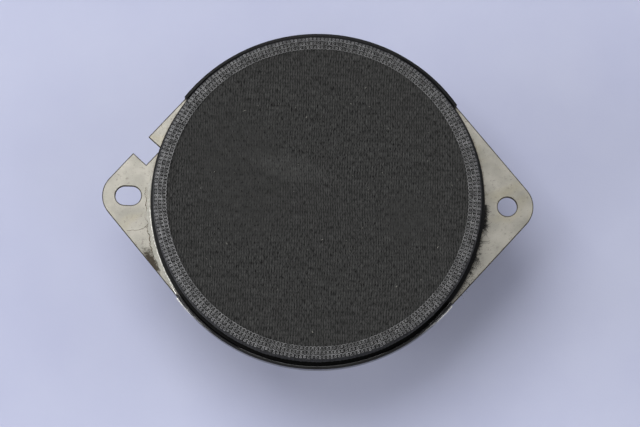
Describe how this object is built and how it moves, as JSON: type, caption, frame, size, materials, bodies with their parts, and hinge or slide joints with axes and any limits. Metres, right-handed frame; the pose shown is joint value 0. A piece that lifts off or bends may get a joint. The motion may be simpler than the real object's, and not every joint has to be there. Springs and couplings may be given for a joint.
{
  "type": "car tweeter",
  "caption": "Dashboard loudspeaker for high notes: steel basket with a diamond flange, slotted and round fixing holes, cloth grille, sprung cone and blade terminals.",
  "frame": {"origin": "centre of the magnet's back face, on which the part rests", "axes": "+Z out of the grille along the cone's travel, +X towards the ear with the round hole, +Y towards the side away from the terminals"},
  "size_m": [0.116, 0.0914, 0.038],
  "materials": {
    "zinc_plate": "zinc-plated pressed steel, warm grey, slightly tarnished",
    "black_plastic": "moulded black plastic with a satin edge",
    "knit_cloth": "black knitted grille cloth",
    "foam_gasket": "black closed-cell foam",
    "surround_rubber": "dark rubber-coated cloth roll",
    "cone_paper": "black pressed paper with a glossy coating",
    "cap_paper": "black pressed paper",
    "former_paper": "brown kraft tube",
    "copper_wire": "enamelled copper wire",
    "spider_cloth": "resin-set yellow cotton",
    "tinsel": "copper tinsel braid",
    "solder": "solder under a drop of glue",
    "ferrite": "sintered ferrite, dark grey",
    "pole_steel": "zinc-plated forged steel",
    "rivet_steel": "bright rivet steel",
    "fibre_board": "brown phenolic paper board",
    "tinned_brass": "tinned brass",
    "capacitor_sleeve": "shrunk plastic sleeve"
  },
  "bodies": {
    "frame": {"t_yoke": "pole_steel", "magnet": "ferrite", "top_plate": "pole_steel", "basket": "zinc_plate", "basket_rivets": "rivet_steel", "surround": "surround_rubber", "tinsel_lead_positive": "tinsel", "tinsel_lead_negative": "tinsel", "spider": "spider_cloth", "front_gasket": "foam_gasket", "grille_frame": "black_plastic", "grille_cloth": "knit_cloth", "terminal_board": "fibre_board", "terminal_tab_positive": "tinned_brass", "terminal_tab_negative": "tinned_brass", "solder_lug": "tinned_brass", "terminal_rivets": "rivet_steel", "blocking_capacitor": "capacitor_sleeve", "capacitor_leads": "solder"},
    "cone": {"cone": "cone_paper", "dust_cap": "cap_paper", "voice_coil_former": "former_paper", "voice_coil_winding": "copper_wire", "coil_lead_wires": "copper_wire", "lead_solder_joints": "solder"}
  },
  "joints": [
    {"name": "cone_travel", "type": "slide", "parent": "frame", "child": "cone", "axis": [0, 0, 1], "range_m": [-0.002, 0.002], "stiffness_N_per_m": 1600, "deforming": ["surround", "spider", "tinsel_lead_positive", "tinsel_lead_negative"]}
  ]
}
